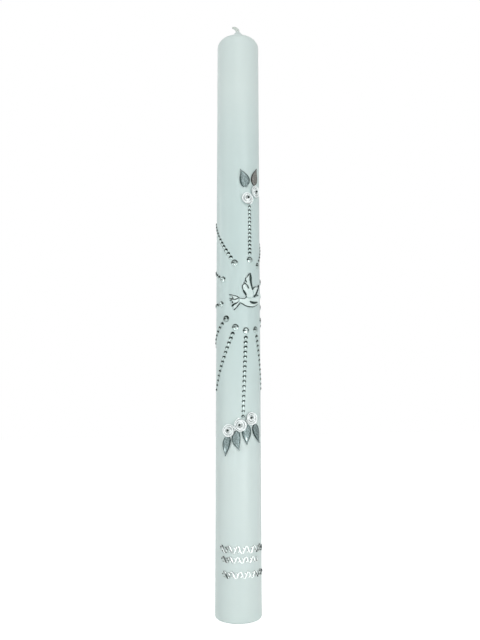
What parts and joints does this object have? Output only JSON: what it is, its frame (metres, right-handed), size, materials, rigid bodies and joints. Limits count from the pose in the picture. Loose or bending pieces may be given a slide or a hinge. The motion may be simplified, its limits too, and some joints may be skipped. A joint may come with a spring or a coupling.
{
  "type": "baptism candle",
  "caption": "Tall round dipped candle with a bent wick, decorated with a dove in a ring of pearl rays, garlands of rolled roses with leaves, and rows of silver line work near the foot.",
  "frame": {"origin": "middle of the flat foot, on the candle's axis", "axes": "+Z along the candle towards the wick, -Y out through the middle of the decoration, +X to the decoration's right as it is looked at"},
  "size_m": [0.0314, 0.0331, 0.412],
  "materials": {
    "coat_wax": "smooth dipped wax with a soft gloss",
    "core_wax": "plain poured wax",
    "cotton": "waxed braid",
    "white_wax": "smooth white wax",
    "silver_wax": "silvered wax, bright and a little darkened in its hollows",
    "dark_silver": "dark silvered wax"
  },
  "bodies": {
    "root": {"dip_coat": "coat_wax", "dove_body": "white_wax", "dove_far_wing": "white_wax", "dove_line_breast": "dark_silver", "dove_line_far_wing": "dark_silver", "dove_line_feather": "dark_silver", "dove_line_near_wing": "dark_silver", "dove_line_tail": "dark_silver", "dove_line_wing_root": "dark_silver", "dove_near_wing": "white_wax", "dove_tail": "white_wax", "leaf_lower_1": "silver_wax", "leaf_lower_2": "silver_wax", "leaf_lower_3": "silver_wax", "leaf_lower_4": "silver_wax", "leaf_upper_1": "silver_wax", "leaf_upper_2": "silver_wax", "pearl_01": "silver_wax", "pearl_02": "silver_wax", "pearl_03": "silver_wax", "pearl_04": "silver_wax", "pearl_05": "silver_wax", "pearl_06": "silver_wax", "pearl_07": "silver_wax", "pearl_08": "silver_wax", "pearl_09": "silver_wax", "pearl_10": "silver_wax", "pearl_11": "silver_wax", "pearl_12": "silver_wax", "ray_01": "silver_wax", "ray_02": "silver_wax", "ray_03": "silver_wax", "ray_04": "silver_wax", "ray_05": "silver_wax", "ray_06": "silver_wax", "ray_07": "silver_wax", "ray_08": "silver_wax", "ray_09": "silver_wax", "ray_10": "silver_wax", "ray_11": "silver_wax", "ray_12": "silver_wax", "rose_bead_lower_1": "dark_silver", "rose_bead_lower_2": "dark_silver", "rose_bead_lower_3": "dark_silver", "rose_bead_upper_1": "dark_silver", "rose_bead_upper_2": "dark_silver", "rose_lower_1": "white_wax", "rose_lower_2": "white_wax", "rose_lower_3": "white_wax", "rose_upper_1": "white_wax", "rose_upper_2": "white_wax", "scroll_bottom": "silver_wax", "scroll_middle": "silver_wax", "scroll_top": "silver_wax", "wax_core": "core_wax", "wick": "cotton"}
  },
  "joints": []
}
